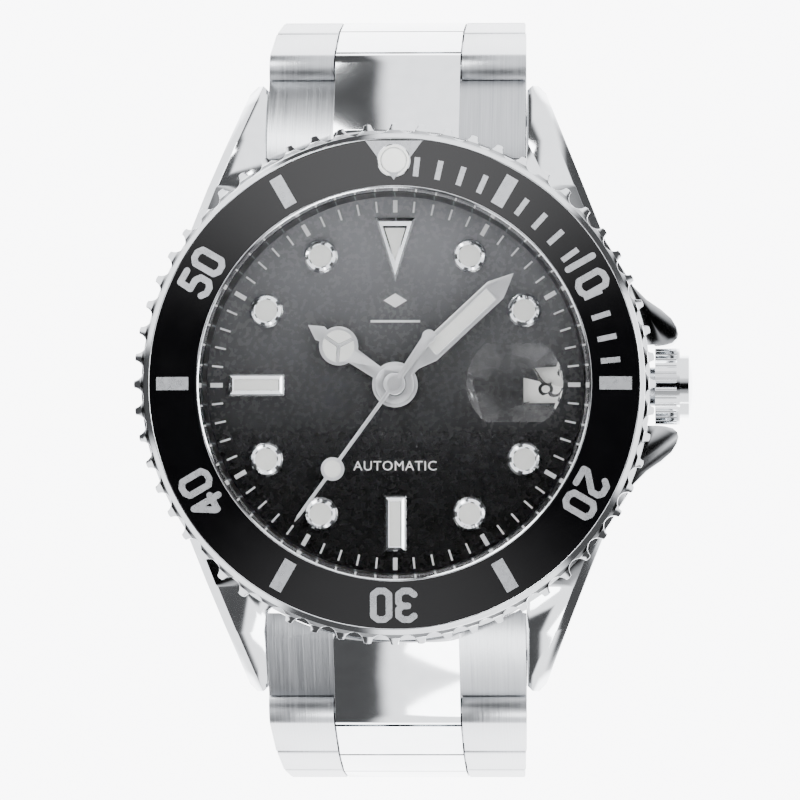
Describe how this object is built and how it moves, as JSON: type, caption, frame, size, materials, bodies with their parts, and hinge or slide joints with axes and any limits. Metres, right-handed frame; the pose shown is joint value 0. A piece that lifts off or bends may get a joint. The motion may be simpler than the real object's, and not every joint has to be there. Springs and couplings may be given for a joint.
{
  "type": "wristwatch",
  "caption": "Automatic diver's wristwatch with turning scalloped bezel, date window, screw-in display back and three-row steel bracelet with folding clasp.",
  "frame": {"origin": "centre of the case back's outer face", "axes": "-Y out of the dial, +Z to 12 o'clock, +X to the crown at 3 o'clock"},
  "size_m": [0.0428, 0.0593, 0.0608],
  "materials": {
    "polished_steel": "polished",
    "case_steel": "polished",
    "brushed_steel": "fine brushed",
    "sapphire": "clear",
    "rubber_seal": "matt",
    "black_dial": "gloss lacquer",
    "black_ceramic": "polished",
    "luminous_fill": "matt",
    "plated_brass": "nickel plated",
    "gilt_brass": "gilt",
    "ruby": "polished",
    "white_disc": "matt",
    "holder_resin": "moulded"
  },
  "bodies": {
    "root": {"mid_case": "case_steel", "case_back": "polished_steel", "case_back_glass": "sapphire", "case_back_gasket": "rubber_seal", "crystal": "sapphire", "date_magnifier": "sapphire", "chapter_ring": "black_dial", "bezel_click_spring": "brushed_steel", "dial": "black_dial", "marker_frames": "polished_steel", "marker_fillings": "luminous_fill", "crown_tube": "brushed_steel", "main_plate": "plated_brass", "train_bridge": "plated_brass", "balance_cock": "plated_brass", "jewels": "ruby", "movement_screws": "brushed_steel", "movement_holder": "holder_resin", "spring_bars": "brushed_steel", "end_link_12": "brushed_steel", "end_link_6": "brushed_steel"},
    "bezel": {"bezel": "polished_steel", "bezel_insert": "black_ceramic", "bezel_pearl": "luminous_fill"},
    "minute": {"minute_hand": "polished_steel", "centre_wheel": "gilt_brass", "cannon_pinion": "brushed_steel"},
    "hour": {"hour_hand": "polished_steel", "hour_wheel": "gilt_brass"},
    "second": {"second_hand": "polished_steel", "fourth_wheel": "gilt_brass"},
    "third": {"third_wheel": "gilt_brass"},
    "escape": {"escape_wheel": "brushed_steel"},
    "barrel": {"barrel": "gilt_brass"},
    "motion": {"minute_wheel": "gilt_brass"},
    "pallet": {"pallet_fork": "brushed_steel"},
    "balance": {"balance_wheel": "gilt_brass", "hairspring": "brushed_steel"},
    "date": {"date_ring": "white_disc"},
    "rotor": {"rotor": "plated_brass"},
    "winding": {"winding_pinion": "brushed_steel"},
    "crown": {"crown": "polished_steel", "winding_stem": "brushed_steel"},
    "link_12_1": {"link_12_1": "brushed_steel"},
    "link_12_2": {"link_12_2": "brushed_steel"},
    "link_12_3": {"link_12_3": "brushed_steel"},
    "link_12_4": {"link_12_4": "brushed_steel"},
    "link_12_5": {"link_12_5": "brushed_steel"},
    "link_12_6": {"link_12_6": "brushed_steel"},
    "link_6_1": {"link_6_1": "brushed_steel"},
    "link_6_2": {"link_6_2": "brushed_steel"},
    "link_6_3": {"link_6_3": "brushed_steel"},
    "link_6_4": {"link_6_4": "brushed_steel"},
    "link_6_5": {"link_6_5": "brushed_steel"},
    "link_6_6": {"link_6_6": "brushed_steel"},
    "clasp_cover": {"clasp_cover": "brushed_steel"},
    "clasp_blade_long": {"clasp_blade_long": "brushed_steel"},
    "clasp_blade_short": {"clasp_blade_short": "brushed_steel"},
    "clasp_button_right": {"clasp_button_right": "brushed_steel"},
    "clasp_button_left": {"clasp_button_left": "brushed_steel"}
  },
  "joints": [
    {"name": "bezel_turn", "type": "hinge", "parent": "root", "child": "bezel", "pos_m": [0, -0.005, 0], "axis": [0, -1, 0], "continuous": true},
    {"name": "minute_turn", "type": "hinge", "parent": "root", "child": "minute", "pos_m": [0, -0.005, 0], "axis": [0, -1, 0], "continuous": true},
    {"name": "hour_turn", "type": "hinge", "parent": "root", "child": "hour", "pos_m": [0, -0.005, 0], "axis": [0, -1, 0], "continuous": true},
    {"name": "second_turn", "type": "hinge", "parent": "root", "child": "second", "pos_m": [0, -0.005, 0], "axis": [0, -1, 0], "continuous": true},
    {"name": "third_turn", "type": "hinge", "parent": "root", "child": "third", "pos_m": [-0.00468, -0.005, -0.0027], "axis": [0, -1, 0], "continuous": true},
    {"name": "escape_turn", "type": "hinge", "parent": "root", "child": "escape", "pos_m": [-0.00409, -0.005, 0.00368], "axis": [0, -1, 0], "continuous": true},
    {"name": "barrel_turn", "type": "hinge", "parent": "root", "child": "barrel", "pos_m": [0.00442, -0.005, 0.0049], "axis": [0, -1, 0], "continuous": true},
    {"name": "motion_turn", "type": "hinge", "parent": "root", "child": "motion", "pos_m": [0.00137, -0.005, -0.00376], "axis": [0, -1, 0], "continuous": true},
    {"name": "date_turn", "type": "hinge", "parent": "root", "child": "date", "pos_m": [0, -0.005, 0], "axis": [0, -1, 0], "continuous": true},
    {"name": "rotor_turn", "type": "hinge", "parent": "root", "child": "rotor", "pos_m": [0, -0.005, 0], "axis": [0, -1, 0], "continuous": true},
    {"name": "pallet_rock", "type": "hinge", "parent": "root", "child": "pallet", "pos_m": [-0.0066, -0.005, 0.00513], "axis": [0, -1, 0], "range_deg": [-4, 4]},
    {"name": "balance_swing", "type": "hinge", "parent": "root", "child": "balance", "pos_m": [-0.0084, -0.005, 0.0012], "axis": [0, -1, 0], "range_deg": [-270, 270]},
    {"name": "crown_turn", "type": "hinge", "parent": "root", "child": "winding", "pos_m": [0.01, -0.00495, 0], "axis": [1, 0, 0], "continuous": true},
    {"name": "crown_pull", "type": "slide", "parent": "winding", "child": "crown", "axis": [1, 0, 0], "range_m": [0, 0.0016]},
    {"name": "link_12_1_hinge", "type": "hinge", "parent": "root", "child": "link_12_1", "pos_m": [0, -0.0019, 0.0246], "axis": [1, 0, 0], "range_deg": [0, 49]},
    {"name": "link_12_2_hinge", "type": "hinge", "parent": "link_12_1", "child": "link_12_2", "pos_m": [0, 0.00575, 0.02694], "axis": [1, 0, 0], "range_deg": [0, 7]},
    {"name": "link_12_3_hinge", "type": "hinge", "parent": "link_12_2", "child": "link_12_3", "pos_m": [0, 0.01363, 0.02833], "axis": [1, 0, 0], "range_deg": [0, 6]},
    {"name": "link_12_4_hinge", "type": "hinge", "parent": "link_12_3", "child": "link_12_4", "pos_m": [0, 0.02161, 0.02889], "axis": [1, 0, 0], "range_deg": [0, 6]},
    {"name": "link_12_5_hinge", "type": "hinge", "parent": "link_12_4", "child": "link_12_5", "pos_m": [0, 0.0296, 0.02861], "axis": [1, 0, 0], "range_deg": [0, 18]},
    {"name": "link_12_6_hinge", "type": "hinge", "parent": "link_12_5", "child": "link_12_6", "pos_m": [0, 0.03712, 0.02587], "axis": [1, 0, 0], "range_deg": [0, 24]},
    {"name": "link_6_1_hinge", "type": "hinge", "parent": "root", "child": "link_6_1", "pos_m": [0, -0.0019, -0.0246], "axis": [-1, 0, 0], "range_deg": [0, 49]},
    {"name": "link_6_2_hinge", "type": "hinge", "parent": "link_6_1", "child": "link_6_2", "pos_m": [0, 0.00575, -0.02694], "axis": [-1, 0, 0], "range_deg": [0, 7]},
    {"name": "link_6_3_hinge", "type": "hinge", "parent": "link_6_2", "child": "link_6_3", "pos_m": [0, 0.01363, -0.02833], "axis": [-1, 0, 0], "range_deg": [0, 6]},
    {"name": "link_6_4_hinge", "type": "hinge", "parent": "link_6_3", "child": "link_6_4", "pos_m": [0, 0.02161, -0.02889], "axis": [-1, 0, 0], "range_deg": [0, 6]},
    {"name": "link_6_5_hinge", "type": "hinge", "parent": "link_6_4", "child": "link_6_5", "pos_m": [0, 0.0296, -0.02861], "axis": [-1, 0, 0], "range_deg": [0, 18]},
    {"name": "link_6_6_hinge", "type": "hinge", "parent": "link_6_5", "child": "link_6_6", "pos_m": [0, 0.03712, -0.02587], "axis": [-1, 0, 0], "range_deg": [0, 24]},
    {"name": "clasp_cover_hinge", "type": "hinge", "parent": "link_6_6", "child": "clasp_cover", "pos_m": [0, 0.04288, -0.02031], "axis": [-1, 0, 0], "range_deg": [0, 46]},
    {"name": "clasp_open", "type": "hinge", "parent": "clasp_cover", "child": "clasp_blade_long", "pos_m": [0, 0.04318, 0.01671], "axis": [-1, 0, 0], "range_deg": [0, 30]},
    {"name": "clasp_unfold", "type": "hinge", "parent": "clasp_blade_long", "child": "clasp_blade_short", "pos_m": [0, 0.04198, -0.01511], "axis": [1, 0, 0], "range_deg": [0, 80]},
    {"name": "clasp_button_right_push", "type": "slide", "parent": "clasp_cover", "child": "clasp_button_right", "axis": [-1, 0, 0], "range_m": [0, 0.0005]},
    {"name": "clasp_button_left_push", "type": "slide", "parent": "clasp_cover", "child": "clasp_button_left", "axis": [1, 0, 0], "range_m": [0, 0.0005]}
  ],
  "couplings": [
    {"joint": "hour_turn", "follows": "minute_turn", "ratio": 0.083333},
    {"joint": "second_turn", "follows": "minute_turn", "ratio": 60},
    {"joint": "third_turn", "follows": "minute_turn", "ratio": -8},
    {"joint": "escape_turn", "follows": "minute_turn", "ratio": -600},
    {"joint": "barrel_turn", "follows": "minute_turn", "ratio": -0.14286},
    {"joint": "motion_turn", "follows": "minute_turn", "ratio": -0.33333},
    {"joint": "link_12_2_hinge", "follows": "link_12_1_hinge", "ratio": 0.14286},
    {"joint": "link_12_3_hinge", "follows": "link_12_1_hinge", "ratio": 0.12245},
    {"joint": "link_12_4_hinge", "follows": "link_12_1_hinge", "ratio": 0.12245},
    {"joint": "link_12_5_hinge", "follows": "link_12_1_hinge", "ratio": 0.36735},
    {"joint": "link_12_6_hinge", "follows": "link_12_1_hinge", "ratio": 0.4898},
    {"joint": "link_6_2_hinge", "follows": "link_6_1_hinge", "ratio": 0.14286},
    {"joint": "link_6_3_hinge", "follows": "link_6_1_hinge", "ratio": 0.12245},
    {"joint": "link_6_4_hinge", "follows": "link_6_1_hinge", "ratio": 0.12245},
    {"joint": "link_6_5_hinge", "follows": "link_6_1_hinge", "ratio": 0.36735},
    {"joint": "link_6_6_hinge", "follows": "link_6_1_hinge", "ratio": 0.4898},
    {"joint": "clasp_cover_hinge", "follows": "link_6_1_hinge", "ratio": 0.93878}
  ]
}
